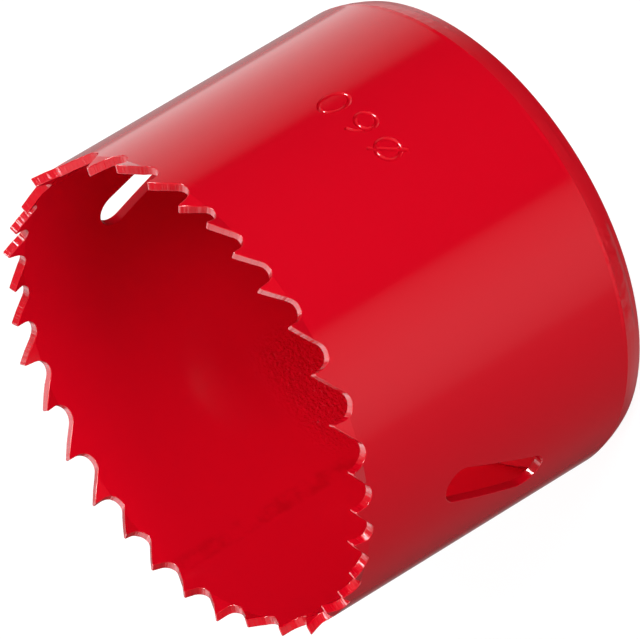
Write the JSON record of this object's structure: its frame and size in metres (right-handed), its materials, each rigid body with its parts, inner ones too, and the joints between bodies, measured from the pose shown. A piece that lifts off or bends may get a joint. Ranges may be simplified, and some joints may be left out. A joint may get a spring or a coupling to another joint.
{
  "type": "hole saw",
  "caption": "Cup-shaped hole saw with set teeth of varying pitch, slanted windows in its wall and a thick end plate threaded for an arbor.",
  "frame": {"origin": "centre of the end plate's back face, which the saw stands on", "axes": "+Z along the saw's axis, from the end plate towards the teeth"},
  "size_m": [0.0598, 0.0599, 0.0436],
  "materials": {
    "wall_paint": "gloss red enamel over steel, slightly orange-peeled inside",
    "plate_paint": "gloss red enamel over turned steel"
  },
  "bodies": {
    "root": {"toothed_wall": "wall_paint", "end_plate": "plate_paint"}
  },
  "joints": []
}
